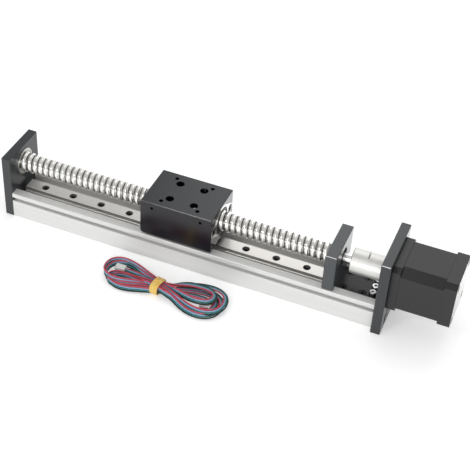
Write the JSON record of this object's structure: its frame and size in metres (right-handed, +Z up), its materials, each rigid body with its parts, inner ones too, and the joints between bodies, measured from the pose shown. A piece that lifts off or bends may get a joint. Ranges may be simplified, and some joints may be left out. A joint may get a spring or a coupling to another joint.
{
  "type": "ball screw linear module",
  "caption": "Compact linear actuator: a stepper motor turns a ball screw over a grooved aluminium base and moves a drilled table block along a miniature rail guide.",
  "frame": {"origin": "middle of the base profile's underside, between its two ends and its two sides", "axes": "+X along the screw from the free end plate towards the motor, +Z up out of the table, +Y across, away from the side where the lead lies"},
  "size_m": [0.367, 0.0973, 0.067],
  "materials": {
    "silver_anodised": "fine satin silver anodising with faint drawing lines",
    "black_anodised": "milled and black anodised, fine satin",
    "motor_black": "semi-matt black paint",
    "rail_steel": "ground steel",
    "bearing_steel": "polished bearing steel",
    "screw_ground": "ground and polished steel with oil film",
    "screw_steel": "bright zinc plating",
    "screw_black": "black oxide",
    "bright_aluminium": "turned, clear anodised",
    "rotor_iron": "stacked laminations",
    "copper_wire": "enamelled copper wire",
    "white_plastic": "natural nylon",
    "green_plastic": "dark moulded plastic",
    "black_plastic": "moulded plastic",
    "seal_rubber": "smooth rubber",
    "lead_insulation": "four flexible insulated wires, black, green, blue and red",
    "tie_yellow": "soft woven tie"
  },
  "bodies": {
    "base": {"base_profile": "silver_anodised", "end_plate": "black_anodised", "end_plate_screws": "screw_black", "guide_rail": "rail_steel", "rail_screws": "screw_black", "bearing_plate": "black_anodised", "bearing_plate_screws": "screw_steel", "drive_base": "black_anodised", "drive_base_screws": "screw_steel", "drive_clamp_screws": "screw_steel", "motor_plate": "black_anodised", "motor_plate_screws": "screw_black", "drive_tie_screws": "screw_black", "screw_bearing_outer_rings": "bearing_steel", "screw_bearing_shields": "bearing_steel", "motor_front_cap": "motor_black", "motor_stack": "motor_black", "motor_windings": "copper_wire", "motor_rear_cap": "motor_black", "motor_bearing_outer_rings": "bearing_steel", "motor_mount_screws": "screw_steel", "motor_tie_screws": "screw_black", "motor_socket": "white_plastic", "lead_hank": "lead_insulation", "lead_tie": "tie_yellow", "lead_plugs": "white_plastic"},
    "screw": {"ball_screw": "screw_ground", "screw_bearing_inner_rings": "bearing_steel", "coupling_body": "bright_aluminium", "coupling_screws": "screw_black", "motor_shaft": "screw_ground", "motor_rotor": "rotor_iron", "motor_bearing_inner_rings": "bearing_steel"},
    "carriage": {"slider_block": "black_anodised", "carriage_body": "rail_steel", "carriage_end_caps": "green_plastic", "carriage_seals": "seal_rubber", "carriage_screws": "screw_black", "ball_nut": "bearing_steel", "nut_wipers": "black_plastic", "nut_screws": "screw_black"}
  },
  "joints": [
    {"name": "screw_spin", "type": "hinge", "parent": "base", "child": "screw", "pos_m": [0, 0, 0.041], "axis": [1, 0, 0], "range_deg": [-6372.1, 8028.1]},
    {"name": "carriage_slide", "type": "slide", "parent": "base", "child": "carriage", "axis": [1, 0, 0], "range_m": [-0.1115, 0.0885]}
  ],
  "couplings": [
    {"joint": "screw_spin", "follows": "carriage_slide", "rad_per_m": -1256.6}
  ]
}
